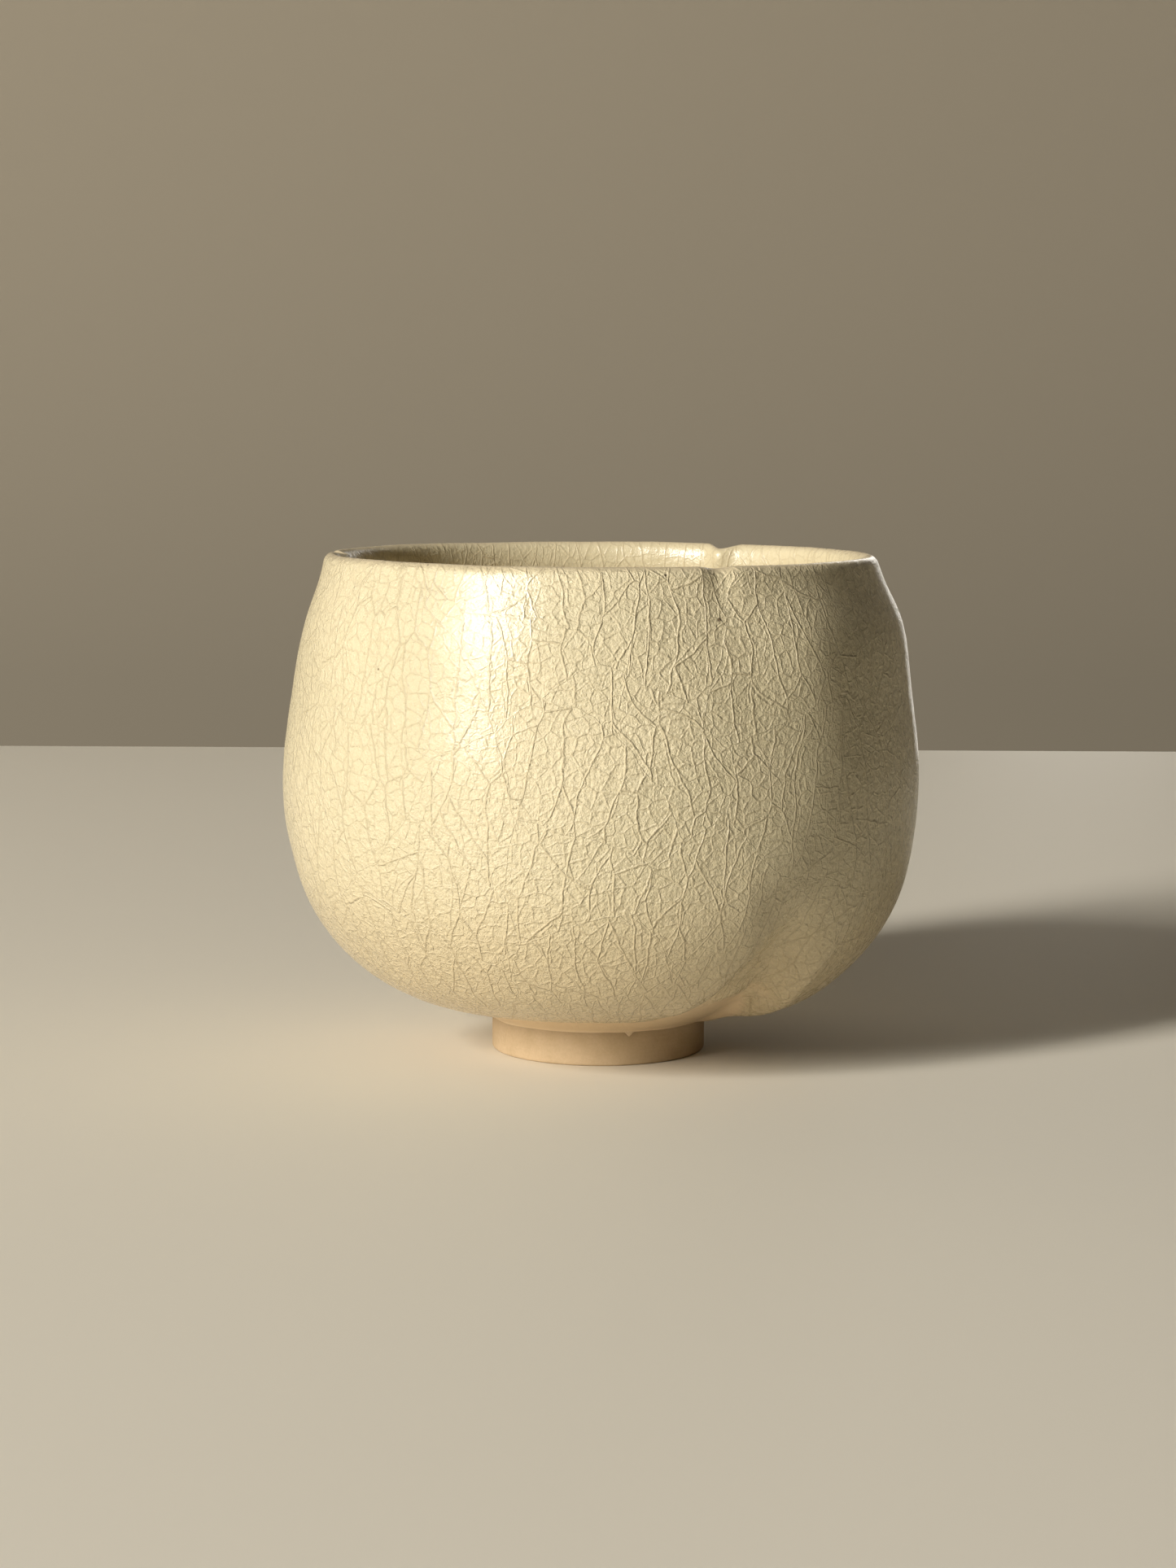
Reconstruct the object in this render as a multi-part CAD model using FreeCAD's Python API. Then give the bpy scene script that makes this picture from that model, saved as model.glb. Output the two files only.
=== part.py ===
import FreeCAD, Part
import os
from math import cos, hypot, radians, sin

# Matcha bowl: a thrown stoneware bowl, squeezed into three lobes, on a turned foot ring, under a
# crackled cream glaze. Millimetres, +Z up, origin at the middle of the foot's resting face.
# Azimuths are degrees from +X towards +Y.

# ---- Driving dimensions ----

FOOT_HEIGHT = 5.9
FOOT_RADIUS = 18.5
FOOT_WALL = 4.6
FOOT_BEVEL = 0.5
GLAZE = 0.35

# The glazed outside from the foot ring to the lip, as (radius, height). Each row has the same place
# on the wall in all three outlines: over a plain lobe, over the fuller lobe towards +X, and along the
# valleys between the lobes.
LOBE = [
    (18.85, 5.9), (22.0, 7.6), (26.0, 9.4), (30.0, 9.7), (36.5, 11.9), (43.0, 16.4), (47.7, 21.8),
    (51.7, 29.0), (54.1, 39.0), (54.7, 50.8), (52.8, 64.6), (50.6, 76.0), (47.9, 83.8),
]
FULL_LOBE = [
    (18.85, 5.9), (22.0, 6.4), (26.0, 7.6), (30.0, 8.2), (36.5, 10.1), (43.0, 14.8), (48.2, 20.6),
    (52.3, 28.5), (54.5, 39.0), (55.0, 50.8), (53.5, 64.6), (51.4, 76.0), (47.9, 83.8),
]
VALLEY = [
    (18.85, 5.9), (22.0, 7.3), (25.5, 9.0), (29.0, 11.0), (35.2, 15.0), (41.0, 20.4), (45.8, 25.4),
    (51.2, 31.0), (54.2, 39.8), (54.4, 50.8), (52.6, 64.6), (49.8, 76.0), (47.6, 83.8),
]
VALLEY_AZIMUTHS = (-50.0, 62.0, 178.0)
LOBE_BLEND = 6.0

# Above the widest part each valley fades and drifts to stand under its pinch in the lip
DRIFT_START = 30.0
DRIFT_HEIGHT = 45.0

# For each row, the valley's flat floor and its two flanks, in degrees to either side of its middle:
# (floor before the middle, floor after it, flank before the floor, flank after it)
VALLEY_WIDTHS = [
    (17.0, 16.0, 12.0, 8.0), (16.0, 14.0, 14.0, 8.0), (14.0, 12.0, 15.0, 8.0), (12.0, 10.0, 16.0, 8.0),
    (6.0, 6.0, 14.0, 9.0), (3.0, 2.0, 12.0, 10.0), (0.0, 0.0, 12.0, 12.0), (0.0, 0.0, 14.0, 16.0),
] + [(0.0, 0.0, 20.0, 20.0)] * 5

# The lip's rounded edge, then the glazed well down to its flat floor
LIP = [(47.2, 85.4), (46.3, 86.0), (45.3, 85.5)]
WELL = [
    (44.6, 83.8), (46.8, 76.0), (49.0, 65.0), (50.2, 51.0), (49.2, 40.0), (46.0, 30.5), (40.5, 22.5),
    (33.0, 16.6), (24.0, 13.2), (14.0, 12.1), (7.0, 12.0),
]
WELL_LOBE_SHARE = 0.6
WELL_ROUND_TO = 36.0

# Three small pinches in the lip, each as (azimuth, inward push, dip of the edge), and how far each
# spreads, in degrees to either side and in millimetres down the wall
PINCHES = [(-66.5, 0.9, 0.4), (60.0, 2.2, 0.8), (176.0, 2.0, 0.5)]
PINCH_HALF_WIDTH = 4.6
PINCH_REACH = 7.0

# Degrees between the points of a ring, and the closer points across each pinch
PLAIN_STEP = 5.0
PINCH_STEPS = (-5.1, -3.4, -1.7, 0.0, 1.7, 3.4, 5.1)


# ---- The wall's shape ----

def ease(x):
    """Smooth step from 0 to 1."""
    x = min(max(x, 0.0), 1.0)
    return x * x * (3.0 - 2.0 * x)


def turn(angle):
    """The same angle between -180 and 180 degrees."""
    return (angle + 180.0) % 360.0 - 180.0


def mix(a, b, share):
    return tuple(p + (q - p) * share for p, q in zip(a, b))


def valley_middles(row):
    """Azimuths of the three valleys at one row of the outline."""
    drift = ease((LOBE[row][1] - DRIFT_START) / DRIFT_HEIGHT)
    return [low + drift * (pinch[0] - low) for low, pinch in zip(VALLEY_AZIMUTHS, PINCHES)]


def valley_share(row, azimuth):
    """1 on a valley's floor, 0 on a lobe."""
    floor_before, floor_after, flank_before, flank_after = VALLEY_WIDTHS[row]
    shares = []
    for middle in valley_middles(row):
        off = turn(azimuth - middle)
        rise = ease((off + floor_before + flank_before) / flank_before)
        fall = ease((floor_after + flank_after - off) / flank_after)
        shares.append(rise * fall)
    return max(shares)


def full_lobe_share(row, azimuth):
    """1 on the fuller lobe, which lies between the first two valleys, 0 on the others."""
    first, second = valley_middles(row)[:2]
    width = 2.0 * LOBE_BLEND
    return ease((azimuth - first + LOBE_BLEND) / width) * ease((second + LOBE_BLEND - azimuth) / width)


def outside_point(row, azimuth):
    lobe = mix(LOBE[row], FULL_LOBE[row], full_lobe_share(row, azimuth))
    return mix(lobe, VALLEY[row], valley_share(row, azimuth))


def well_point(row, azimuth):
    """The well follows the lobes less than the outside does, and its floor is round."""
    radius, height = WELL[row]
    outer = min(range(len(LOBE)), key=lambda k: abs(LOBE[k][1] - height) + abs(LOBE[k][0] - radius))
    here = outside_point(outer, azimuth)
    reach = WELL_LOBE_SHARE * ease((radius - WELL[-1][0]) / WELL_ROUND_TO)
    return (radius + reach * (here[0] - LOBE[outer][0]), height + reach * (here[1] - LOBE[outer][1]))


def pinched(point, azimuth):
    """The point after the lip's pinches have pushed it in and down."""
    radius, height = point
    lip_top = LIP[1][1]
    for middle, push, dip in PINCHES:
        across = abs(turn(azimuth - middle)) / PINCH_HALF_WIDTH
        below = max(lip_top - height, 0.0) / PINCH_REACH
        share = ease(1.0 - across) * ease(1.0 - below)
        radius -= push * share
        height -= dip * share
    return (radius, height)


def meridian(azimuth):
    """The glaze's own surface in one upright half plane: outside, lip, then well."""
    points = [outside_point(row, azimuth) for row in range(len(LOBE))]
    points += LIP
    points += [well_point(row, azimuth) for row in range(len(WELL))]
    return [pinched(point, azimuth) for point in points]


def inset(points, depth):
    """The same outline, moved into the clay. Its ends stay at their own heights."""
    moved = []
    for k, (radius, height) in enumerate(points):
        before = points[max(k - 1, 0)]
        after = points[min(k + 1, len(points) - 1)]
        along = hypot(after[0] - before[0], after[1] - before[1])
        radius_in = radius - depth * (after[1] - before[1]) / along
        height_in = height + depth * (after[0] - before[0]) / along
        moved.append((radius_in, height_in))
    moved[0] = (points[0][0] - depth, points[0][1])
    moved[-1] = (points[-1][0], points[-1][1] - depth)
    return moved


# ---- Surfaces through rings of points ----

def azimuths():
    """Even steps round the bowl, with closer ones across each pinch."""
    near = [turn(middle + step) for middle, _, _ in PINCHES for step in PINCH_STEPS]
    clear = PINCH_STEPS[-1] + 0.5 * PLAIN_STEP
    plain = [k * PLAIN_STEP - 180.0 for k in range(int(360.0 / PLAIN_STEP))]
    plain = [a for a in plain if all(abs(turn(a - middle)) > clear for middle, _, _ in PINCHES)]
    return sorted(near + plain)


def ring(points, around):
    """A smooth closed curve. around holds each point's azimuth, and then the first one's again."""
    curve = Part.BSplineCurve()
    curve.interpolate(Points=points, PeriodicFlag=True, Parameters=around)
    return curve


def skin(rings, around, rows):
    """The smooth surface through a set of rings. rows holds each ring's place along the outline."""
    curves = [ring(points, around) for points in rings]
    columns = []
    for poles in zip(*(curve.getPoles() for curve in curves)):
        column = Part.BSplineCurve()
        column.interpolate(Points=list(poles), Parameters=rows)
        columns.append(column)
    surface = Part.BSplineSurface()
    surface.buildFromPolesMultsKnots(
        [column.getPoles() for column in columns],
        curves[0].getMultiplicities(), columns[0].getMultiplicities(),
        curves[0].getKnots(), columns[0].getKnots(),
        True, False, curves[0].Degree, columns[0].Degree,
    )
    return surface.toShape()


def outline_lengths(points):
    lengths = [0.0]
    for a, b in zip(points, points[1:]):
        lengths.append(lengths[-1] + hypot(b[0] - a[0], b[1] - a[1]))
    return lengths


def coat(depth, first, last):
    """The bowl's surface at one depth under the glaze, between two rows of the outline."""
    rows = outline_lengths(LOBE + LIP + WELL)[first:last + 1]
    rings = [[] for _ in range(first, last + 1)]
    around = azimuths()
    for azimuth in around:
        outline = inset(meridian(azimuth), depth)
        for points, (radius, height) in zip(rings, outline[first:last + 1]):
            direction = radians(azimuth)
            points.append(FreeCAD.Vector(radius * cos(direction), radius * sin(direction), height))
    return skin(rings, around + [around[0] + 360.0], rows)


def end_edge(face, upper):
    """The closed edge at the start or the end of a coat."""
    closed = [edge for edge in face.Edges if edge.isClosed()]
    closed.sort(key=lambda edge: edge.CenterOfMass.z)
    return closed[-1] if upper else closed[0]


def solid(faces):
    shell = Part.Shell(faces)
    shell.sewShape()
    body = Part.Solid(shell)
    if body.Volume < 0:
        body.reverse()
    return body


LIP_ROW = len(LOBE) + 1
LAST_ROW = len(LOBE) + len(LIP) + len(WELL) - 1


# ---- The pieces ----

def make_clay_body():
    outside = coat(GLAZE, 0, LIP_ROW)
    well = coat(GLAZE, LIP_ROW, LAST_ROW)
    underside = Part.Face(Part.Wire([end_edge(outside, False)]))
    floor = Part.Face(Part.Wire([end_edge(well, False)]))
    return solid([outside, well, underside, floor])


def make_outer_glaze():
    surface = coat(0.0, 0, LIP_ROW)
    backing = coat(GLAZE, 0, LIP_ROW)
    lower = Part.makeRuledSurface(end_edge(surface, False), end_edge(backing, False))
    upper = Part.makeRuledSurface(end_edge(surface, True), end_edge(backing, True))
    return solid([surface, backing, lower, upper])


def make_inner_glaze():
    surface = coat(0.0, LIP_ROW, LAST_ROW)
    backing = coat(GLAZE, LIP_ROW, LAST_ROW)
    upper = Part.makeRuledSurface(end_edge(surface, True), end_edge(backing, True))
    floor = Part.Face(Part.Wire([end_edge(surface, False)]))
    underside = Part.Face(Part.Wire([end_edge(backing, False)]))
    return solid([surface, backing, upper, floor, underside])


def make_foot_ring():
    hole_radius = FOOT_RADIUS - FOOT_WALL
    outline = Part.makePolygon([
        FreeCAD.Vector(hole_radius + FOOT_BEVEL, 0, 0),
        FreeCAD.Vector(FOOT_RADIUS - FOOT_BEVEL, 0, 0),
        FreeCAD.Vector(FOOT_RADIUS, 0, FOOT_BEVEL),
        FreeCAD.Vector(FOOT_RADIUS, 0, FOOT_HEIGHT),
        FreeCAD.Vector(hole_radius, 0, FOOT_HEIGHT),
        FreeCAD.Vector(hole_radius, 0, FOOT_BEVEL),
        FreeCAD.Vector(hole_radius + FOOT_BEVEL, 0, 0),
    ])
    axis = FreeCAD.Vector(0, 0, 1)
    return Part.Face(outline).revolve(FreeCAD.Vector(0, 0, 0), axis, 360)


PIECES = {
    "clay_body": make_clay_body,
    "foot_ring": make_foot_ring,
    "outer_glaze": make_outer_glaze,
    "inner_glaze": make_inner_glaze,
}

os.makedirs("parts", exist_ok=True)
for name, make in PIECES.items():
    make().exportStep("parts/" + name + ".step")
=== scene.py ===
from math import pi, radians

import bpy
import numpy as np
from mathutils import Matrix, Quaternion, Vector, noise


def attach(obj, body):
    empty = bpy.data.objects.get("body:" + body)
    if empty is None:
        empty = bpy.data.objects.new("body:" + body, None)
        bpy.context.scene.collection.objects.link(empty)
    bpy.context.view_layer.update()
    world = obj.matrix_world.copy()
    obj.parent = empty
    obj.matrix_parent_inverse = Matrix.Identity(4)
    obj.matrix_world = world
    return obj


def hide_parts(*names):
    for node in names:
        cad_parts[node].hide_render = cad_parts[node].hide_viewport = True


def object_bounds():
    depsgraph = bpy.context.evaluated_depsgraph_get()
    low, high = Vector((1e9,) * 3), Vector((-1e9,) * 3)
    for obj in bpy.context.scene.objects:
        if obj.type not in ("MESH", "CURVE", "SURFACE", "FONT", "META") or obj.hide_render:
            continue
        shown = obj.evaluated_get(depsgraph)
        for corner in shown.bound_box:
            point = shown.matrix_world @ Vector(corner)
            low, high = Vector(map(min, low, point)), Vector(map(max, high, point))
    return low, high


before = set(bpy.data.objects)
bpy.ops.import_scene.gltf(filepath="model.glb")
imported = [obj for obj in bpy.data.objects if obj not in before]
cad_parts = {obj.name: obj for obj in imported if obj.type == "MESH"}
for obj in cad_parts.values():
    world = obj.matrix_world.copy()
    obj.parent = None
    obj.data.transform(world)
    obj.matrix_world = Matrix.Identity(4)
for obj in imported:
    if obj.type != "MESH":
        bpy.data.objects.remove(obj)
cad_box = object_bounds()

# Matcha bowl: fine meshes and procedural materials for the clay, its foot ring and its two glaze coats.
# Outlines are in millimetres and MM brings them into the scene's metres. Azimuths are degrees from +X
# towards +Y.

MM = 0.001

# ---- The bowl's form ----

GLAZE = 0.35

# The glazed outside from the foot ring to the lip, as (radius, height): over a plain lobe, over the
# fuller lobe towards +X, and along the valleys between the lobes
LOBE = [
    (18.85, 5.9), (22.0, 7.6), (26.0, 9.4), (30.0, 9.7), (36.5, 11.9), (43.0, 16.4), (47.7, 21.8),
    (51.7, 29.0), (54.1, 39.0), (54.7, 50.8), (52.8, 64.6), (50.6, 76.0), (47.9, 83.8),
]
FULL_LOBE = [
    (18.85, 5.9), (22.0, 6.4), (26.0, 7.6), (30.0, 8.2), (36.5, 10.1), (43.0, 14.8), (48.2, 20.6),
    (52.3, 28.5), (54.5, 39.0), (55.0, 50.8), (53.5, 64.6), (51.4, 76.0), (47.9, 83.8),
]
VALLEY = [
    (18.85, 5.9), (22.0, 7.3), (25.5, 9.0), (29.0, 11.0), (35.2, 15.0), (41.0, 20.4), (45.8, 25.4),
    (51.2, 31.0), (54.2, 39.8), (54.4, 50.8), (52.6, 64.6), (49.8, 76.0), (47.6, 83.8),
]
VALLEY_AZIMUTHS = (-50.0, 62.0, 178.0)
LOBE_BLEND = 6.0

# Above the widest part each valley fades and drifts to stand under its pinch in the lip
DRIFT_START = 30.0
DRIFT_HEIGHT = 45.0

# For each row, (floor before the valley's middle, floor after it, flank before, flank after), in degrees
VALLEY_WIDTHS = [
    (17.0, 16.0, 12.0, 8.0), (16.0, 14.0, 14.0, 8.0), (14.0, 12.0, 15.0, 8.0), (12.0, 10.0, 16.0, 8.0),
    (6.0, 6.0, 14.0, 9.0), (3.0, 2.0, 12.0, 10.0), (0.0, 0.0, 12.0, 12.0), (0.0, 0.0, 14.0, 16.0),
] + [(0.0, 0.0, 20.0, 20.0)] * 5

# The lip's rounded edge, then the glazed well down to its flat floor
LIP = [(47.2, 85.4), (46.3, 86.0), (45.3, 85.5)]
WELL = [
    (44.6, 83.8), (46.8, 76.0), (49.0, 65.0), (50.2, 51.0), (49.2, 40.0), (46.0, 30.5), (40.5, 22.5),
    (33.0, 16.6), (24.0, 13.2), (14.0, 12.1), (7.0, 12.0),
]
WELL_LOBE_SHARE = 0.6
WELL_ROUND_TO = 36.0

# Three small pinches in the lip, each as (azimuth, inward push, dip of the edge)
PINCHES = [(-66.5, 0.9, 0.4), (60.0, 2.2, 0.8), (176.0, 2.0, 0.5)]
PINCH_HALF_WIDTH = 4.6
PINCH_REACH = 7.0

LIP_ROW = len(LOBE) + 1
LAST_ROW = len(LOBE) + len(LIP) + len(WELL) - 1

# Lumps and hollows that the hand leaves in the glaze, as (wavelength, size)
LUMPS = [(17.0, 0.12), (6.5, 0.05), (3.0, 0.025)]

# The front lobe's rim folds over the valley beside it, along a line of (length along the outline,
# azimuth). The fold's steep side, its gentle back and the painted shade in its lee are so many degrees
# wide. Its ends fade over some millimetres of the outline. The painted shade is the thin glaze's darker
# colour, laid where the fold's shadow falls. It holds for part of its width, and only a share of it is laid
# on.
FOLD = [(11.0, -64.0), (14.2, -58.0), (17.2, -51.5), (19.2, -48.0), (21.0, -45.5)]
FOLD_HEIGHT = 0.85
FOLD_EDGE = 1.2
FOLD_WIDTH = 9.0
FOLD_FADE = 3.0
FOLD_OVERRUN = 1.0
FOLD_SHADE_WIDTH = 11.0
FOLD_SHADE_HOLD = 1.5
FOLD_SHADE_SHARE = 0.7

# The glaze's lower edge is rounded and runs a little over the foot ring's top, with one small drip
EDGE_RINGS = 6
EDGE_WAVES = 3.0
EDGE_CHANCE = 7.0
EDGE_DROP = 0.22
DRIP_AZIMUTH = -74.0
DRIP_HALF_WIDTH = 2.6
DRIP_DROP = 0.8

# The foot ring, and the spiral groove that turning leaves under the bowl
FOOT_RADIUS = 18.5
FOOT_WALL = 4.6
FOOT_HEIGHT = 5.9
FOOT_BEVEL = 0.5
SPIRAL_PITCH = 2.4
SPIRAL_DEPTH = 0.09
SPIRAL_FADE = 1.5

# The thin smooth glaze reaches this far along the outline from the foot, and further in the valleys.
# The glaze is also thin in a band on each side of the lip's crest.
THIN_REACH = 8.5
THIN_VALLEY_REACH = 8.0
THIN_FADE = 3.0
LIP_BAND = 1.7

# How far the foot ring's wall wavers, and the frequencies of that round it and up it
FOOT_UNEVEN = 0.06
FOOT_WAVES = 1.7
FOOT_WAVE_HEIGHT = 9.0

# Crackle: the size of each kind of cell, how wide and how high its lines stand, and how wide their stain
# is. Fine lines show by a share, and the largest cells' lines start this much further from their middle.
LARGE_CELL = (22.0, 22.0, 22.0)
LONG_CELL = (4.4, 15.0, 1.0)
SMALL_CELL = (2.3, 2.5, 1.0)
CRACK_WIDTH = 0.28
STAIN_WIDTH = 0.22
FINE_WIDTH = 0.26
FINE_SHARE = 0.6
FAR_FAINT = 0.12
CRACK_HEIGHT = 0.14

# Cracks stray from straight lines by two noises, each as (size, reach)
BEND = (11.0, 3.6)
WOBBLE = (2.4, 0.7)
NOISE_CENTRE = (0.5, 0.5, 0.5)

# The flat charts of the glaze that its crackle is drawn on
CHART_RADIUS = 50.0
FLOOR_CHART_RADIUS = 31.0
FLOOR_CHART_HEIGHT = 40.0
CHART_TURN = 0.45
CHART_SHIFT = 300.0
CELL_SHIFT = 70.0

# The glaze's fine orange peel and its soft waves, and how much of them the thin glaze and the lip lose
PEEL_SIZE = 0.9
PEEL_HEIGHT = 0.58
WAVE_SIZE = 3.5
WAVE_HEIGHT = 0.22
THIN_SMOOTH = 0.8
LIP_SMOOTH = 0.9

# The glaze's gloss, under a clear skin that follows a share of the relief
GLOSS_SIZE = 1.6
ROUGHNESS = (0.22, 0.34)
THIN_ROUGHNESS = 0.42
SPECULAR = 0.35
SKIN_WEIGHT = 0.4
SKIN_ROUGHNESS = 0.16
SKIN_RELIEF = 0.16

# The glaze's colours: in clouds, warmer low down, by cell, where it is thin, on the lip, in the cracks.
# The thin glaze's colour is also laid as painted shade in the fold's lee.
PALE_GLAZE = (0.80, 0.70, 0.47, 1.0)
DEEP_GLAZE = (0.75, 0.66, 0.44, 1.0)
CLOUD_SIZE = 24.0
LOW_GLAZE = (0.72, 0.58, 0.36, 1.0)
LOW_HEIGHTS = (10.0, 44.0)
LOW_SHARE = 0.8
CELL_GLAZE = (0.66, 0.55, 0.32, 1.0)
CELL_SHARE = 0.10
# The thin glaze's colour, also used as painted shade in the fold's lee
THIN_GLAZE_AND_SHADE = (0.79, 0.61, 0.39, 1.0)
LIP_GLAZE = (0.78, 0.63, 0.43, 1.0)
LIP_SHARE = 0.5
STAIN = (0.34, 0.23, 0.10, 1.0)

# Dark specks of iron. The chance of a speck leaves most cells of the spacing without one.
IRON = (0.10, 0.055, 0.025, 1.0)
SPECK_SPACING = 9.0
SPECK_RADIUS = 0.45
SPECK_CHANCE = 0.45
SPECK_EDGE = (0.6, 1.1)
SPECK_SHARE = 0.85
LEAST_SPECK = 1e-4

# Bare clay: its grain, its patches and the faint rings that the turning tool leaves
PALE_CLAY = (0.60, 0.45, 0.28, 1.0)
DEEP_CLAY = (0.53, 0.39, 0.23, 1.0)
PATCH_SIZE = 7.0
GRAIN_CLAY = (0.42, 0.30, 0.17, 1.0)
GRAIN_SIZE = 0.5
GRAIN_SHARE = 0.25
GRAIN_HEIGHT = 0.03
RING_SIZE = 0.55
RING_HEIGHT = 0.035
CLAY_ROUGHNESS = (0.72, 0.9)

# How much of a noise's range is stretched to its full effect
NARROW = (0.35, 0.65)
MEDIUM = (0.3, 0.7)
WIDE = (0.2, 0.8)

# Camera, stage and light, in metres and degrees. A lamp is (azimuth, elevation, distance, its width and
# height, watts, colour).
BOWL_MIDDLE = (Vector(cad_box[0]) + Vector(cad_box[1])) / 2.0
CAMERA_PLACE = (-0.00201, -0.5609, 0.1125)
CAMERA_PITCH = 6.76
CAMERA_ROLL = 0.285
CAMERA_LENS = 74.73
CAMERA_SENSOR = 36.0
CAMERA_CLIP = 0.05
STAGE_HALF = 3.0
TABLE_FRONT = -2.5
TABLE_EDGE = 0.485
BACKDROP_DISTANCE = 0.75
BACKDROP_HEIGHTS = (-1.0, 3.0)
FLOOR_COLOUR = (0.80, 0.76, 0.67, 1.0)
FLOOR_ROUGHNESS = 0.7
BACKDROP_COLOUR = (0.31, 0.27, 0.205, 1.0)
BACKDROP_ROUGHNESS = 0.9
KEY_LIGHT = (-138.0, 23.5, 2.4, (0.34, 1.0), 74.0, (1.0, 0.955, 0.87))
GLOSS_LIGHT = (-138.0, 33.0, 2.3, (0.75, 0.6), 33.0, (1.0, 0.98, 0.96))
RIM_LIGHT = (75.0, 9.0, 0.74, (0.1, 0.5), 0.4, (1.0, 0.96, 0.88))
ROOM_COLOUR = (0.62, 0.58, 0.50, 1.0)
ROOM_LIGHT = 0.006

# Mesh resolution: columns round the bowl, and the distance between rows on the wall, round the lip, next
# to the line where the two coats meet, and on what the glaze hides
COLUMNS = 480
ROW_SPACING = 1.05
LIP_SPACING = 0.16
SEAM_SPACING = 0.04
HIDDEN_SPACING = 4.0

# The same for the clay, which has fewer columns: its wall, its lip, its underside and the foot ring
CLAY_COLUMNS = 240
CLAY_SPACING = 2.0
CLAY_LIP_SPACING = 0.5
SPIRAL_SPACING = 0.3
SPIRAL_CENTRE = 1.0
FOOT_SPACING = 0.5
BEVEL_POINTS = 6

# Each smaller ring's size where a disc is closed, and how the lumps fade before the well's disc
DISC_SHARES = (0.8, 0.62, 0.45, 0.3, 0.16)
CLAY_DISC_SHARES = DISC_SHARES[:4]
FLOOR_FADE = 10.0


def ease(x):
    """Smooth step from 0 to 1."""
    x = np.clip(x, 0.0, 1.0)
    return x * x * (3.0 - 2.0 * x)


def turn(angle):
    """The same angle between -180 and 180 degrees."""
    return (angle + 180.0) % 360.0 - 180.0


def valley_middles(row):
    drift = ease((LOBE[row][1] - DRIFT_START) / DRIFT_HEIGHT)
    return [low + drift * (pinch[0] - low) for low, pinch in zip(VALLEY_AZIMUTHS, PINCHES)]


def valley_share(row, azimuths):
    """1 on a valley's floor, 0 on a lobe."""
    floor_before, floor_after, flank_before, flank_after = VALLEY_WIDTHS[row]
    share = np.zeros_like(azimuths)
    for middle in valley_middles(row):
        off = turn(azimuths - middle)
        rise = ease((off + floor_before + flank_before) / flank_before)
        fall = ease((floor_after + flank_after - off) / flank_after)
        share = np.maximum(share, rise * fall)
    return share


def full_lobe_share(row, azimuths):
    first, second = valley_middles(row)[:2]
    width = 2.0 * LOBE_BLEND
    return ease((azimuths - first + LOBE_BLEND) / width) * ease((second + LOBE_BLEND - azimuths) / width)


def outside_row(row, azimuths):
    """Radius and height of one row of the outline, at every azimuth."""
    full = full_lobe_share(row, azimuths)[:, None]
    valley = valley_share(row, azimuths)[:, None]
    lobe = np.array(LOBE[row]) * (1.0 - full) + np.array(FULL_LOBE[row]) * full
    return lobe * (1.0 - valley) + np.array(VALLEY[row]) * valley


def well_row(row, azimuths):
    radius, height = WELL[row]
    outer = min(range(len(LOBE)), key=lambda k: abs(LOBE[k][1] - height) + abs(LOBE[k][0] - radius))
    reach = WELL_LOBE_SHARE * ease((radius - WELL[-1][0]) / WELL_ROUND_TO)
    return np.array(WELL[row]) + reach * (outside_row(outer, azimuths) - np.array(LOBE[outer]))


def outline_rows(azimuths):
    """The glaze's own surface as rows of (radius, height): outside, lip, then well."""
    rows = [outside_row(row, azimuths) for row in range(len(LOBE))]
    rows += [np.tile(np.array(point), (len(azimuths), 1)) for point in LIP]
    rows += [well_row(row, azimuths) for row in range(len(WELL))]
    rows = np.array(rows)
    for middle, push, dip in PINCHES:
        across = np.abs(turn(azimuths - middle)) / PINCH_HALF_WIDTH
        below = np.maximum(LIP[1][1] - rows[..., 1], 0.0) / PINCH_REACH
        share = ease(1.0 - across)[None, :] * ease(1.0 - below)
        rows[..., 0] -= push * share
        rows[..., 1] -= dip * share
    return rows


def row_lengths():
    points = np.array(LOBE + LIP + WELL)
    return np.concatenate([[0.0], np.cumsum(np.hypot(*np.diff(points, axis=0).T))])


def natural_spline(knots, values, samples):
    """Cubic spline through values at the knots, with no bend at its ends, read at the samples."""
    step = np.diff(knots)
    slope = np.diff(values, axis=0) / step.reshape(-1, 1, 1)
    size = len(knots)
    system = np.eye(size)
    bend = np.zeros_like(values)
    for k in range(1, size - 1):
        system[k, k - 1:k + 2] = (step[k - 1], 2.0 * (step[k - 1] + step[k]), step[k])
        bend[k] = 6.0 * (slope[k] - slope[k - 1])
    second = np.linalg.solve(system, bend.reshape(size, -1)).reshape(values.shape)
    k = np.clip(np.searchsorted(knots, samples, side="right") - 1, 0, size - 2)
    width = step[k].reshape(-1, 1, 1)
    b = ((samples - knots[k]) / step[k]).reshape(-1, 1, 1)
    a = 1.0 - b
    bow = ((a**3 - a) * second[k] + (b**3 - b) * second[k + 1]) * width**2 / 6.0
    return a * values[k] + b * values[k + 1] + bow


def surface_grid(samples, azimuths):
    """Radius and height of the glaze's surface at each sample of the outline's length."""
    return natural_spline(row_lengths(), outline_rows(azimuths), samples)


# ---- Points on the glaze ----

def outline_samples(first_row, last_row, spacing, lip_spacing):
    """Places along the outline between two of its rows, closer together round the lip."""
    lengths = row_lengths()
    first, last = lengths[first_row], lengths[last_row]
    lip_from, crest, lip_to = lengths[len(LOBE) - 1], lengths[LIP_ROW], lengths[len(LOBE) + len(LIP)]
    stops = [lip_from, crest - SEAM_SPACING, crest, crest + SEAM_SPACING, lip_to]
    stops = [first] + [stop for stop in stops if first < stop < last] + [last]
    samples = [first]
    for start, end in zip(stops, stops[1:]):
        near_lip = lip_from <= start and end <= lip_to
        steps = int(np.ceil((end - start) / (lip_spacing if near_lip else spacing)))
        samples.extend(np.linspace(start, end, steps + 1)[1:])
    return np.array(samples)


def column_azimuths(columns):
    return np.arange(columns) * 360.0 / columns - 180.0


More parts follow.
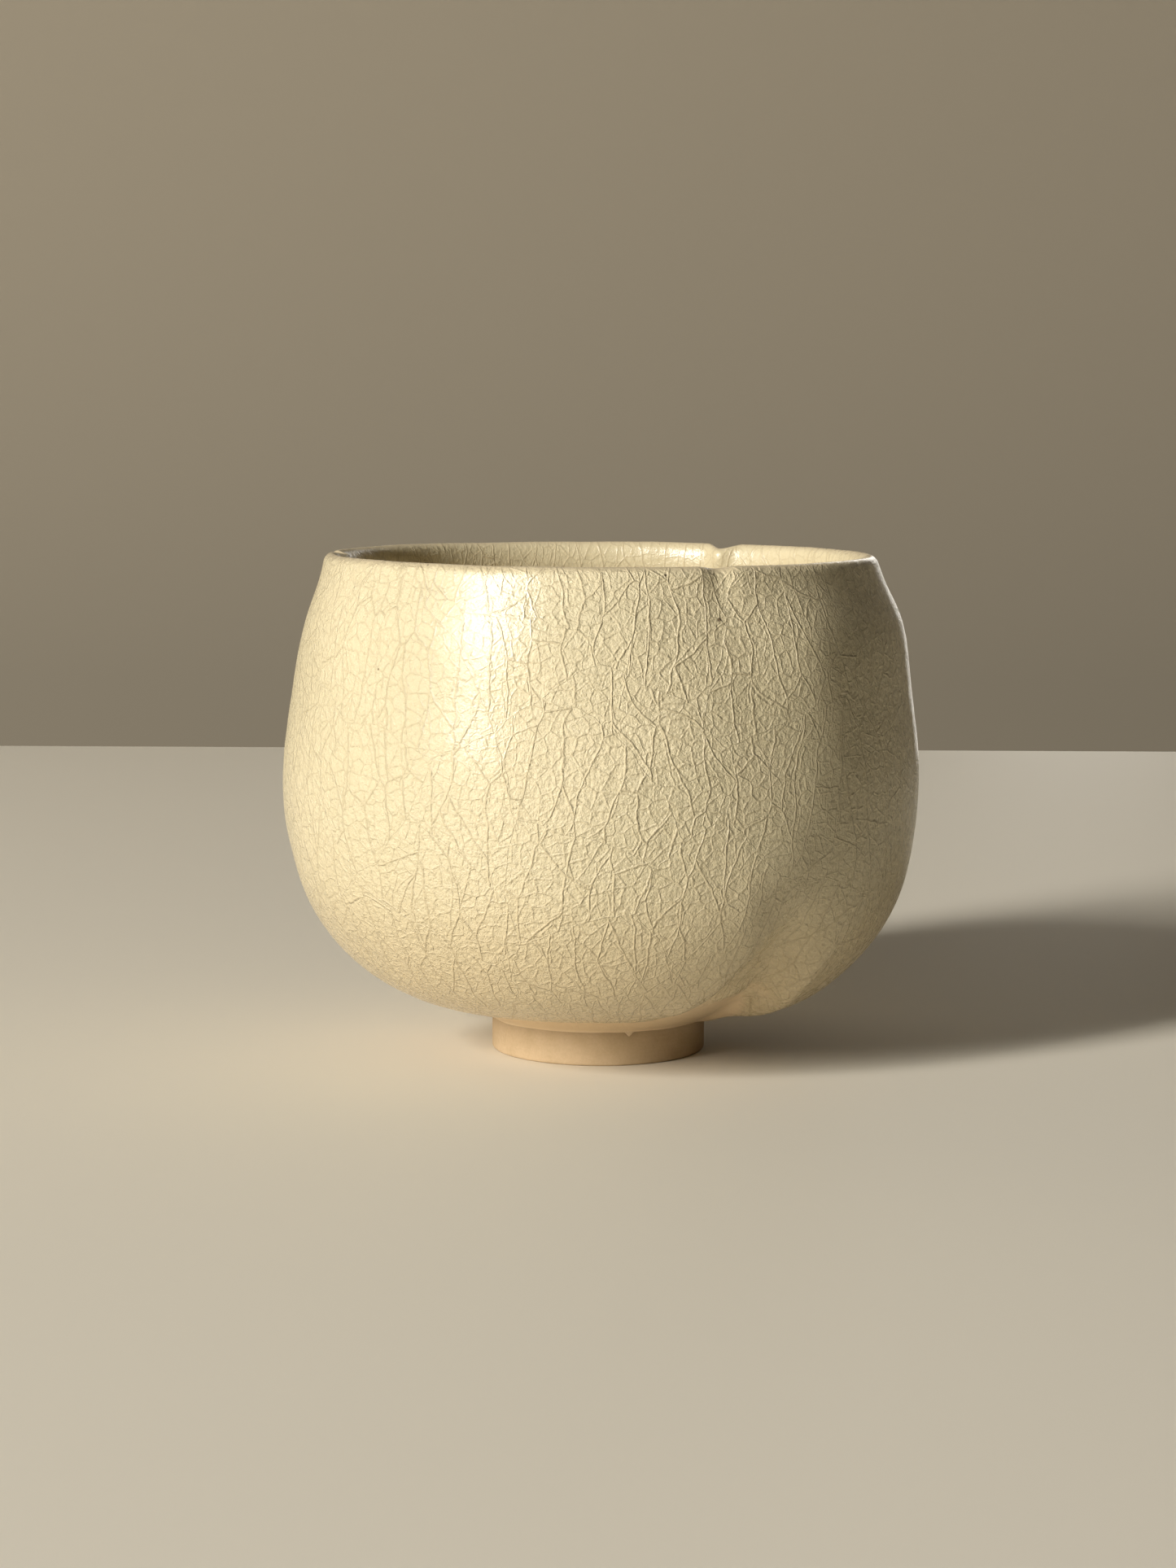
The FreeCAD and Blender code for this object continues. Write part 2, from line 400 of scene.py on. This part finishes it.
def surface_points(samples, azimuths):
    """The glaze's smooth surface, in rows that run up the outside and down the well."""
    grid = surface_grid(samples, azimuths)
    directions = np.radians(azimuths)
    x = grid[..., 0] * np.cos(directions)
    y = grid[..., 0] * np.sin(directions)
    return np.stack([x, y, grid[..., 1]], axis=-1)


def surface_normals(samples, azimuths, step=0.05):
    """Directions out of the glaze at the same points."""
    along = surface_points(samples + step, azimuths) - surface_points(samples - step, azimuths)
    around = surface_points(samples, azimuths + step) - surface_points(samples, azimuths - step)
    normals = np.cross(around, along)
    return normals / np.linalg.norm(normals, axis=-1, keepdims=True)


def hand_made(points):
    """How far the lumps stand out of the smooth surface at each point."""
    lumps = [
        sum(size * noise.noise(Vector(point / length)) for length, size in LUMPS)
        for point in points.reshape(-1, 3)
    ]
    return np.array(lumps).reshape(points.shape[:-1] + (1,))


def beside_fold(samples, azimuths):
    """How many degrees each point is past the fold's line, and how much of the fold each sample has."""
    along, line = np.array(FOLD).T
    off = azimuths[None, :] - np.interp(samples, along, line)[:, None]
    share = ease((samples - along[0]) / FOLD_FADE) * ease((along[-1] + FOLD_OVERRUN - samples) / FOLD_FADE)
    return off, share[:, None]


def folded(samples, azimuths):
    """How far the front lobe's folded rim stands out of the smooth surface."""
    off, share = beside_fold(samples, azimuths)
    bank = ease(0.5 - off / FOLD_EDGE) * ease(1.0 + off / FOLD_WIDTH)
    return (FOLD_HEIGHT * share * bank)[..., None]


def thin_glaze_and_fold_shade(samples, azimuths):
    """1 where the glaze is thin and smooth, near the foot and along the valleys' lower ends, else 0. In the
    fold's lee a share of it is painted shade: the thin glaze's darker colour where the fold's shadow falls.
    """
    lengths = row_lengths()[:len(LOBE)]
    valley = np.array([valley_share(row, azimuths) for row in range(len(LOBE))])
    valley = np.array([np.interp(samples, lengths, column) for column in valley.T]).T
    reach = THIN_REACH + THIN_VALLEY_REACH * valley
    off, share = beside_fold(samples, azimuths)
    # Painted shade: the thin glaze's darker colour in the fold's lee, where the fold's shadow falls
    painted_fold_shade = ease(0.5 + off / FOLD_EDGE) * ease(FOLD_SHADE_HOLD - FOLD_SHADE_HOLD * off / FOLD_SHADE_WIDTH)
    near_foot = ease((reach - samples[:, None]) / THIN_FADE + 0.5)
    return np.maximum(near_foot, FOLD_SHADE_SHARE * share * painted_fold_shade)


# ---- Meshes ----

class Shape:
    """A mesh in the making, in millimetres. Each point carries its place along the glaze's outline."""

    def __init__(self):
        self.points = []
        self.places = []
        self.thin_and_shade = []
        self.faces = []
        self.sharp = []

    def rows(self, rows, places=0.0, thin_and_shade=0.0):
        """Adds rows of points and returns their indices, row by row."""
        rows = np.asarray(rows)
        start, shape = len(self.points), rows.shape[:2]
        self.points.extend(rows.reshape(-1, 3))
        self.places.extend(np.broadcast_to(np.reshape(places, (-1, 1)), shape).ravel())
        self.thin_and_shade.extend(np.broadcast_to(thin_and_shade, shape).ravel())
        return np.arange(start, len(self.points)).reshape(shape)

    def band(self, rings):
        """Joins rings of equally many points, each to the next."""
        for low, high in zip(rings, rings[1:]):
            corners = np.stack([low, np.roll(low, -1), np.roll(high, -1), high], axis=-1)
            self.faces.extend(corners.tolist())

    def disc(self, ring, shares, flipped=False):
        """Closes a ring with smaller rings, each of half as many points, and a point in the middle."""
        first_face = len(self.faces)
        outline = np.array([self.points[k] for k in ring])
        place = self.places[ring[0]]
        middle = outline.mean(axis=0)
        for share in shares:
            outline = outline[::2]
            inner = self.rows([middle + (outline - middle) * share], place)[0]
            ends, halves, nexts = ring[::2], ring[1::2], np.roll(ring[::2], -1)
            inner_nexts = np.roll(inner, -1)
            sides = ((ends, halves, inner), (halves, inner_nexts, inner), (halves, nexts, inner_nexts))
            for corners in sides:
                self.faces.extend(np.stack(corners, axis=-1).tolist())
            ring = inner
        centre = self.rows([[middle]], place)[0]
        fan = np.stack([ring, np.roll(ring, -1), np.repeat(centre, len(ring))], axis=-1)
        self.faces.extend(fan.tolist())
        if flipped:
            self.faces[first_face:] = [face[::-1] for face in self.faces[first_face:]]

    def build(self, name, material):
        """The finished object, in metres."""
        mesh = bpy.data.meshes.new(name)
        mesh.from_pydata((np.array(self.points) * MM).tolist(), [], self.faces)
        mesh.shade_smooth()
        crest = row_lengths()[LIP_ROW]
        places = np.array(self.places)
        lip = ease(1.0 - np.abs(places - crest) / LIP_BAND)
        for key, values in (("outline", places), ("thin_and_shade", self.thin_and_shade), ("lip", lip)):
            mesh.attributes.new(key, "FLOAT", "POINT").data.foreach_set("value", values)
        ends = np.zeros(len(mesh.edges) * 2, int)
        mesh.edges.foreach_get("vertices", ends)
        sharp = np.zeros(len(mesh.edges), bool)
        for ring in self.sharp:
            sharp |= np.isin(ends.reshape(-1, 2), ring).all(axis=1)
        mesh.attributes.new("sharp_edge", "BOOLEAN", "EDGE").data.foreach_set("value", sharp)
        mesh.materials.append(material)
        piece = bpy.data.objects.new(name, mesh)
        bpy.context.scene.collection.objects.link(piece)
        return piece


# ---- The pieces ----

def make_outer_glaze(material):
    """The coat from the foot ring to the lip's crest: its face, its backing and a rounded lower edge."""
    azimuths = column_azimuths(COLUMNS)
    samples = outline_samples(0, LIP_ROW, ROW_SPACING, LIP_SPACING)
    smooth = surface_points(samples, azimuths)
    raised = hand_made(smooth) + folded(samples, azimuths)
    face_rows = smooth + surface_normals(samples, azimuths) * raised
    hidden = outline_samples(0, LIP_ROW, HIDDEN_SPACING, HIDDEN_SPACING)[::-1]
    backing_rows = surface_points(hidden, azimuths) - GLAZE * surface_normals(hidden, azimuths)
    shape = Shape()
    face = shape.rows(face_rows, samples, thin_glaze_and_fold_shade(samples, azimuths))
    backing = shape.rows(backing_rows, hidden)
    edge = shape.rows(lower_edge(backing_rows[-1], face_rows[0], azimuths), thin_and_shade=1.0)
    shape.band(face)
    shape.band([face[-1], backing[0]])
    shape.band(backing)
    shape.band([backing[-1], *edge, face[0]])
    shape.sharp = [face[-1], backing[0]]
    return shape.build("outer_glaze_coat", material)


def lower_edge(inner, outer, azimuths):
    """Rings that round the coat's lower edge, which droops a little over the top of the foot ring."""
    around = EDGE_WAVES * np.array([np.cos(np.radians(azimuths)), np.sin(np.radians(azimuths))])
    wave = [noise.noise(Vector((x, y, EDGE_CHANCE))) for x, y in around.T]
    drip = ease(1.0 - np.abs(turn(azimuths - DRIP_AZIMUTH)) / DRIP_HALF_WIDTH)
    drop = EDGE_DROP * (1.0 + np.array(wave)) + DRIP_DROP * drip
    rings = []
    for angle in np.linspace(0.0, pi, EDGE_RINGS + 2)[1:-1]:
        ring = inner + (outer - inner) * (1.0 - np.cos(angle)) / 2.0
        ring[:, 2] -= drop * np.sin(angle)
        rings.append(ring)
    return np.array(rings)


def make_inner_glaze(material):
    """The coat from the lip's crest down the well and over its floor, with its backing."""
    azimuths = column_azimuths(COLUMNS)
    samples = outline_samples(LIP_ROW, LAST_ROW, ROW_SPACING, LIP_SPACING)
    smooth = surface_points(samples, azimuths)
    fade = ease((samples[-1] - samples) / FLOOR_FADE)[:, None, None]
    face_rows = smooth + surface_normals(samples, azimuths) * hand_made(smooth) * fade
    hidden = outline_samples(LIP_ROW, LAST_ROW, HIDDEN_SPACING, HIDDEN_SPACING)[::-1]
    backing_rows = surface_points(hidden, azimuths) - GLAZE * surface_normals(hidden, azimuths)
    shape = Shape()
    face = shape.rows(face_rows, samples)
    backing = shape.rows(backing_rows, hidden)
    shape.band(face)
    shape.band(backing)
    shape.band([backing[-1], face[0]])
    shape.disc(face[-1], DISC_SHARES)
    shape.disc(backing[0], DISC_SHARES, flipped=True)
    shape.sharp = [face[0], backing[-1]]
    return shape.build("inner_glaze_coat", material)


def make_clay_body(material):
    """The thrown clay under the glaze, with a turned spiral where the foot ring leaves it bare."""
    azimuths = column_azimuths(CLAY_COLUMNS)
    samples = outline_samples(0, LAST_ROW, CLAY_SPACING, CLAY_LIP_SPACING)
    rows = surface_points(samples, azimuths) - GLAZE * surface_normals(samples, azimuths)
    rows[0, :, 2] = FOOT_HEIGHT
    radii = np.arange(FOOT_RADIUS - SPIRAL_SPACING, SPIRAL_CENTRE, -SPIRAL_SPACING)
    base = [spiral_ring(radius, azimuths) for radius in radii]
    shape = Shape()
    wall = shape.rows(rows)
    underside = shape.rows(base)
    shape.band(wall)
    shape.band([*underside[::-1], wall[0]])
    shape.disc(wall[-1], CLAY_DISC_SHARES)
    shape.disc(underside[-1], CLAY_DISC_SHARES, flipped=True)
    shape.sharp = [wall[0]]
    return shape.build("thrown_clay", material)


def spiral_ring(radius, azimuths):
    """A ring of the clay's underside, where the turning tool has left a shallow spiral groove."""
    directions = np.radians(azimuths)
    hole = ease((FOOT_RADIUS - FOOT_WALL - radius) / SPIRAL_FADE)
    turns = radius / SPIRAL_PITCH - azimuths / 360.0
    height = FOOT_HEIGHT + SPIRAL_DEPTH * hole * (1.0 - np.cos(2.0 * pi * turns))
    return np.stack([radius * np.cos(directions), radius * np.sin(directions), height], axis=-1)


def make_foot_ring(material):
    """The turned ring that the bowl stands on, with edges softened by the sponge."""
    hole_radius = FOOT_RADIUS - FOOT_WALL
    azimuths = column_azimuths(CLAY_COLUMNS)
    directions = np.radians(azimuths)
    corners = [
        (hole_radius, FOOT_HEIGHT), (hole_radius, 0.0), (FOOT_RADIUS, 0.0), (FOOT_RADIUS, FOOT_HEIGHT),
    ]
    profile = [corners[0]] + soft_corner(*corners[:3]) + soft_corner(*corners[1:]) + [corners[3]]
    profile = spread(profile, FOOT_SPACING)
    rings = []
    for radius, height in profile:
        up = height / FOOT_WAVE_HEIGHT
        around = [Vector((np.cos(a), np.sin(a), up)) * FOOT_WAVES for a in directions]
        uneven = FOOT_UNEVEN * np.array([noise.noise(place) for place in around]) * ease(height / FOOT_BEVEL)
        wide = radius + uneven * ease((FOOT_HEIGHT - height) / FOOT_BEVEL)
        rings.append(np.stack([wide * np.cos(directions), wide * np.sin(directions),
                               np.full(CLAY_COLUMNS, height)], axis=-1))
    shape = Shape()
    rows = shape.rows(rings)
    shape.band([*rows, rows[0]])
    shape.sharp = [rows[0], rows[-1]]
    return shape.build("turned_foot", material)


def soft_corner(before, corner, after):
    """Points of a rounded corner between two runs of the foot's profile."""
    corner = np.array(corner)
    start, end = [corner + FOOT_BEVEL * np.sign(np.array(side) - corner) for side in (before, after)]
    shares = np.linspace(0.0, 1.0, BEVEL_POINTS)
    return [tuple((1 - t) ** 2 * start + 2 * t * (1 - t) * corner + t**2 * end) for t in shares]


def spread(profile, spacing):
    """The same line with more points, so that none are further apart than the spacing."""
    points = [profile[0]]
    for start, end in zip(profile, profile[1:]):
        steps = int(np.ceil(np.hypot(end[0] - start[0], end[1] - start[1]) / spacing))
        points.extend(map(tuple, np.linspace(start, end, steps + 1)[1:]))
    return points


# ---- Materials ----

class Nodes:
    """Builds a material's nodes. Each call adds one node and returns one of its outputs."""

    def __init__(self, name):
        self.material = bpy.data.materials.new(name)
        self.material.use_nodes = True
        self.tree = self.material.node_tree
        self.shader = self.tree.nodes["Principled BSDF"]

    def add(self, kind, output=0, inputs=None, **settings):
        node = self.tree.nodes.new("ShaderNode" + kind)
        for name, value in settings.items():
            setattr(node, name, value)
        for key, value in (inputs or {}).items():
            self.feed(node.inputs[key], value)
        return node.outputs[output]

    def feed(self, socket, value):
        if isinstance(value, bpy.types.NodeSocket):
            self.tree.links.new(value, socket)
        else:
            socket.default_value = value

    def math(self, operation, *values):
        return self.add("Math", inputs=dict(enumerate(values)), operation=operation)

    def vector(self, operation, *values):
        output = "Value" if operation in ("DOT_PRODUCT", "LENGTH") else "Vector"
        return self.add("VectorMath", output, dict(enumerate(values)), operation=operation)

    def scaled(self, vector, factor):
        return self.add("VectorMath", "Vector", {"Vector": vector, "Scale": factor}, operation="SCALE")

    def step(self, value, start, end, low=0.0, high=1.0):
        """Goes smoothly from low to high while the value goes from start to end."""
        inputs = {"Value": value, "From Min": start, "From Max": end, "To Min": low, "To Max": high}
        return self.add("MapRange", "Result", inputs, interpolation_type="SMOOTHSTEP")

    def mix(self, share, first, second):
        inputs = {"Factor": share, "A": first, "B": second}
        node = self.tree.nodes.new("ShaderNodeMix")
        node.data_type = "RGBA"
        sockets = {socket.name: socket for socket in node.inputs if socket.enabled}
        for name, value in inputs.items():
            self.feed(sockets[name], value)
        return next(socket for socket in node.outputs if socket.enabled)

    def attribute(self, name):
        return self.add("Attribute", "Fac", attribute_name=name)

    def noise(self, place, size, detail=2.0, roughness=0.5, output="Fac"):
        """Soft noise whose lumps are about the size apart."""
        inputs = {"Vector": place, "Scale": 1.0 / size, "Detail": detail, "Roughness": roughness}
        return self.add("TexNoise", output, inputs)

    def voronoi(self, place, feature, output, flat):
        inputs = {"Vector": place, "Scale": 1.0, "Randomness": 1.0}
        dimensions = "2D" if flat else "3D"
        return self.add("TexVoronoi", output, inputs, feature=feature, voronoi_dimensions=dimensions)


def in_millimetres(n):
    """The object's own coordinates."""
    return n.scaled(n.add("TexCoord", "Object"), 1.0 / MM)


def parts_of(n, vector):
    node = n.add("SeparateXYZ", "X", {"Vector": vector}).node
    return [node.outputs[axis] for axis in "XYZ"]


def crack_cells(n, place, size, normal=None):
    """Cells of about one size, flat where no normal is given. Returns how far away the nearest crack is,
    measured along the surface, and each cell's middle and random colour."""
    shrink = tuple(1.0 / length for length in size)
    here = n.vector("MULTIPLY", place, shrink)
    own = n.voronoi(here, "F1", "Position", flat=normal is None)
    next_one = n.voronoi(here, "F2", "Position", flat=normal is None)
    between = n.vector("SUBTRACT", own, next_one)
    halfway = n.scaled(n.vector("ADD", own, next_one), 0.5)
    depth = n.vector("DOT_PRODUCT", n.vector("SUBTRACT", here, halfway), between)
    slope = n.vector("MULTIPLY", between, shrink)
    if normal is not None:
        across = n.vector("DOT_PRODUCT", slope, normal)
        slope = n.vector("SUBTRACT", slope, n.scaled(normal, across))
    distance = n.math("DIVIDE", depth, n.vector("LENGTH", slope))
    return distance, n.vector("MULTIPLY", own, size), own.node.outputs["Color"]


def glaze_chart(n, place, middle, colour):
    """Flat coordinates along the glaze. Each large cell takes the chart with no seam near it: round the
    front, round the back, or straight down on the bowl's floor. Each is turned and shifted by chance."""
    x, y, _ = parts_of(n, place)
    middle_x, middle_y, middle_z = parts_of(n, middle)
    front = n.math("MULTIPLY", n.math("ARCTAN2", x, n.math("MULTIPLY", y, -1.0)), CHART_RADIUS)
    back = n.math("MULTIPLY", n.math("ARCTAN2", n.math("MULTIPLY", x, -1.0), y), CHART_RADIUS)
    at_front = n.math("LESS_THAN", middle_y, 0.0)
    around = n.math("MULTIPLY_ADD", n.math("SUBTRACT", front, back), at_front, back)
    wall = n.add("CombineXYZ", "Vector", {"X": around, "Y": n.attribute("outline")})
    reach = n.add("CombineXYZ", "Vector", {"X": middle_x, "Y": middle_y})
    near_axis = n.math("LESS_THAN", n.vector("LENGTH", reach), FLOOR_CHART_RADIUS)
    on_floor = n.math("MULTIPLY", near_axis, n.math("LESS_THAN", middle_z, FLOOR_CHART_HEIGHT))
    chart = n.mix(on_floor, wall, place)
    chance = parts_of(n, colour)[0]
    angle = n.math("MULTIPLY", n.math("SUBTRACT", chance, 0.5), CHART_TURN)
    shifted = n.vector("ADD", chart, n.scaled(colour, CHART_SHIFT))
    return n.add("VectorRotate", "Vector", {"Vector": shifted, "Angle": angle}, rotation_type="Z_AXIS")


def straying(n, place):
    """How far a crack strays from its straight line, here."""
    strays = []
    for size, reach in (BEND, WOBBLE):
        chance = n.vector("SUBTRACT", n.noise(place, size, 1.0, output="Color"), NOISE_CENTRE)
        strays.append(n.scaled(chance, reach))
    return n.vector("ADD", *strays)


def crackle(n, place):
    """Cells of three sizes, each size inside the last. Returns the height of the lines between them, the
    stain in those lines, and each small cell's random colour."""
    stray = straying(n, place)
    normal = n.add("TexCoord", "Normal")
    far, middle, colour = crack_cells(n, n.vector("ADD", place, stray), LARGE_CELL, normal)
    chart = n.vector("ADD", glaze_chart(n, place, middle, colour), stray)
    long, _, long_colour = crack_cells(n, chart, LONG_CELL)
    shifted = n.vector("ADD", chart, n.scaled(long_colour, CELL_SHIFT))
    small, _, small_colour = crack_cells(n, shifted, SMALL_CELL)
    nearest = n.math("MINIMUM", n.math("ADD", far, FAR_FAINT), long)
    ridges, stains = [
        n.math("MAXIMUM", n.step(nearest, 0.0, wide, 1.0, 0.0), n.step(small, 0.0, fine, FINE_SHARE, 0.0))
        for wide, fine in ((CRACK_WIDTH, FINE_WIDTH), (STAIN_WIDTH, STAIN_WIDTH))
    ]
    return ridges, stains, small_colour


def glaze_colour(n, place, thin_and_shade, lip, stain, cell_colour):
    """Cream in soft clouds, warmer low down and where it is thin, with stained cracks and iron specks. The
    thin glaze's colour is also laid as painted shade in the fold's lee.
    """
    cloud = n.step(n.noise(place, CLOUD_SIZE, 3.0), *NARROW)
    body = n.mix(cloud, PALE_GLAZE, DEEP_GLAZE)
    low = n.step(parts_of(n, place)[2], *LOW_HEIGHTS, LOW_SHARE, 0.0)
    body = n.mix(low, body, LOW_GLAZE)
    tone = n.step(parts_of(n, cell_colour)[0], 0.0, 1.0, 0.0, CELL_SHARE)
    body = n.mix(tone, body, CELL_GLAZE)
    # The thin glaze's colour near the foot and up the valleys, and painted shade in the fold's lee
    body = n.mix(thin_and_shade, body, THIN_GLAZE_AND_SHADE)
    body = n.mix(n.math("MULTIPLY", lip, LIP_SHARE), body, LIP_GLAZE)
    body = n.mix(stain, body, STAIN)
    return n.mix(iron_specks(n, place), body, IRON)


def glaze_height(n, place, thin_and_shade, lip, ridges):
    """The crackle's lines over the orange peel and waves, which fade where the glaze is thin."""
    peel = n.math("MULTIPLY", n.noise(place, PEEL_SIZE, 4.0, 0.65), PEEL_HEIGHT)
    waves = n.math("MULTIPLY", n.noise(place, WAVE_SIZE, 1.0), WAVE_HEIGHT)
    smooth = n.math("MAXIMUM", n.math("MULTIPLY", thin_and_shade, THIN_SMOOTH), n.math("MULTIPLY", lip, LIP_SMOOTH))
    relief = n.math("MULTIPLY", n.math("ADD", peel, waves), n.math("SUBTRACT", 1.0, smooth))
    return n.math("MULTIPLY_ADD", ridges, CRACK_HEIGHT, relief)


def make_glaze(name, relief_share, stain_share):
    """Glossy cream glaze, crackled over a fine orange peel, under a clear skin."""
    n = Nodes(name)
    place = in_millimetres(n)
    thin_and_shade, lip = n.attribute("thin_and_shade"), n.attribute("lip")
    ridges, stains, cell_colour = crackle(n, place)
    solid_glaze = n.math("SUBTRACT", 1.0, n.math("MAXIMUM", thin_and_shade, lip))
    ridges = n.math("MULTIPLY", ridges, solid_glaze)
    stain = n.math("MULTIPLY", n.math("MULTIPLY", stains, solid_glaze), stain_share)
    n.feed(n.shader.inputs["Base Color"], glaze_colour(n, place, thin_and_shade, lip, stain, cell_colour))

    rough = n.step(n.noise(place, GLOSS_SIZE, 2.0), *MEDIUM, *ROUGHNESS)
    rough = n.math("MAXIMUM", rough, n.math("MULTIPLY", thin_and_shade, THIN_ROUGHNESS))
    n.feed(n.shader.inputs["Roughness"], rough)
    n.shader.inputs["Specular IOR Level"].default_value = SPECULAR
    n.shader.inputs["Coat Weight"].default_value = SKIN_WEIGHT
    n.shader.inputs["Coat Roughness"].default_value = SKIN_ROUGHNESS

    height = glaze_height(n, place, thin_and_shade, lip, ridges)
    for socket, share in (("Normal", relief_share), ("Coat Normal", SKIN_RELIEF)):
        bump = n.add("Bump", "Normal", {"Height": height, "Distance": share * MM, "Strength": 1.0})
        n.feed(n.shader.inputs[socket], bump)
    return n.material


def iron_specks(n, place):
    """The share of dark iron, on the few specks of it that burn through the glaze."""
    spread_out = n.voronoi(n.scaled(place, 1.0 / SPECK_SPACING), "F1", "Distance", flat=False)
    chance = parts_of(n, spread_out.node.outputs["Color"])[1]
    size = n.step(chance, SPECK_CHANCE, 1.0, 0.0, SPECK_RADIUS / SPECK_SPACING)
    off = n.math("DIVIDE", spread_out, n.math("ADD", size, LEAST_SPECK))
    return n.step(off, *SPECK_EDGE, SPECK_SHARE, 0.0)


def make_clay(name):
    """Bare fired clay: matte and fine grained, with faint rings from the turning tool."""
    n = Nodes(name)
    place = in_millimetres(n)
    grain = n.noise(place, GRAIN_SIZE, 3.0, 0.7)
    patches = n.step(n.noise(place, PATCH_SIZE, 2.0), *NARROW)
    clay = n.mix(patches, PALE_CLAY, DEEP_CLAY)
    clay = n.mix(n.step(grain, *MEDIUM, 0.0, GRAIN_SHARE), clay, GRAIN_CLAY)
    n.feed(n.shader.inputs["Base Color"], clay)
    n.feed(n.shader.inputs["Roughness"], n.step(grain, *WIDE, *CLAY_ROUGHNESS))
    up = n.add("CombineXYZ", "Vector", {"Z": parts_of(n, place)[2]})
    rings = n.math("MULTIPLY", n.noise(up, RING_SIZE, 2.0), RING_HEIGHT)
    height = n.math("ADD", n.math("MULTIPLY", grain, GRAIN_HEIGHT), rings)
    n.feed(n.shader.inputs["Normal"], n.add("Bump", "Normal", {"Height": height, "Distance": MM}))
    return n.material


# ---- Stage, light and camera ----

def make_plain(name, colour, roughness):
    n = Nodes(name)
    n.shader.inputs["Base Color"].default_value = colour
    n.shader.inputs["Roughness"].default_value = roughness
    return n.material


def make_sheet(name, corners, material):
    """A flat stage piece through four corners, in metres."""
    mesh = bpy.data.meshes.new(name)
    mesh.from_pydata(corners, [], [tuple(range(len(corners)))])
    mesh.materials.append(material)
    piece = bpy.data.objects.new(name, mesh)
    bpy.context.scene.collection.objects.link(piece)


def aimed(back):
    """The turn that points a lamp or camera from its place, along back, at what is in front of it."""
    return Vector(back).to_track_quat("Z", "Y")


def make_lamp(name, azimuth, elevation, distance, size, power, colour):
    """A soft lamp that faces the bowl's middle and isn't seen itself."""
    lamp = bpy.data.lights.new(name, "AREA")
    lamp.shape = "RECTANGLE"
    lamp.size, lamp.size_y = size
    lamp.energy, lamp.color = power, colour
    turn_by, rise = radians(azimuth), radians(elevation)
    back = Vector((np.cos(turn_by) * np.cos(rise), np.sin(turn_by) * np.cos(rise), np.sin(rise)))
    holder = bpy.data.objects.new(name, lamp)
    holder.location = BOWL_MIDDLE + back * distance
    holder.rotation_mode = "QUATERNION"
    holder.rotation_quaternion = aimed(back)
    holder.visible_camera = False
    bpy.context.scene.collection.objects.link(holder)
    return holder


def make_camera():
    camera = bpy.data.cameras.new("camera")
    camera.sensor_width = CAMERA_SENSOR
    camera.lens = CAMERA_LENS
    camera.clip_start = CAMERA_CLIP
    holder = bpy.data.objects.new("camera", camera)
    holder.location = CAMERA_PLACE
    holder.rotation_mode = "QUATERNION"
    back = (0.0, -np.cos(radians(CAMERA_PITCH)), np.sin(radians(CAMERA_PITCH)))
    holder.rotation_quaternion = aimed(back) @ Quaternion((0.0, 0.0, 1.0), radians(CAMERA_ROLL))
    bpy.context.scene.collection.objects.link(holder)
    bpy.context.scene.camera = holder


def make_studio():
    """A plain floor and backdrop, the key light, two lamps that only add gloss, and a faint room light."""
    floor = make_plain("pale_floor", FLOOR_COLOUR, FLOOR_ROUGHNESS)
    wall = make_plain("taupe_backdrop", BACKDROP_COLOUR, BACKDROP_ROUGHNESS)
    half, front, edge = STAGE_HALF, TABLE_FRONT, TABLE_EDGE
    make_sheet("floor", [(-half, front, 0), (half, front, 0), (half, edge, 0), (-half, edge, 0)], floor)
    back, (foot, top) = BACKDROP_DISTANCE, BACKDROP_HEIGHTS
    corners = [(-half, back, foot), (half, back, foot), (half, back, top), (-half, back, top)]
    make_sheet("backdrop", corners, wall)
    make_lamp("key_light", *KEY_LIGHT)
    make_lamp("rim_light", *RIM_LIGHT).visible_diffuse = False
    make_lamp("gloss_light", *GLOSS_LIGHT).visible_diffuse = False
    world = bpy.data.worlds.new("soft_room")
    world.use_nodes = True
    background = world.node_tree.nodes["Background"]
    background.inputs["Color"].default_value = ROOM_COLOUR
    background.inputs["Strength"].default_value = ROOM_LIGHT
    bpy.context.scene.world = world
    bpy.context.scene.view_settings.view_transform = "Standard"


make_camera()
make_studio()

outer_material = make_glaze("crackle_glaze_outside", relief_share=1.0, stain_share=0.24)
inner_material = make_glaze("crackle_glaze_inside", relief_share=0.35, stain_share=0.28)
clay_material = make_clay("bare_clay")
for node, make, material, slot in (
    ("outer_glaze", make_outer_glaze, outer_material, "crackle_glaze"),
    ("inner_glaze", make_inner_glaze, inner_material, "crackle_glaze"),
    ("clay_body", make_clay_body, clay_material, "stoneware"),
    ("foot_ring", make_foot_ring, clay_material, "stoneware"),
):
    piece = make(material)
    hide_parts(node)
    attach(piece, "root")
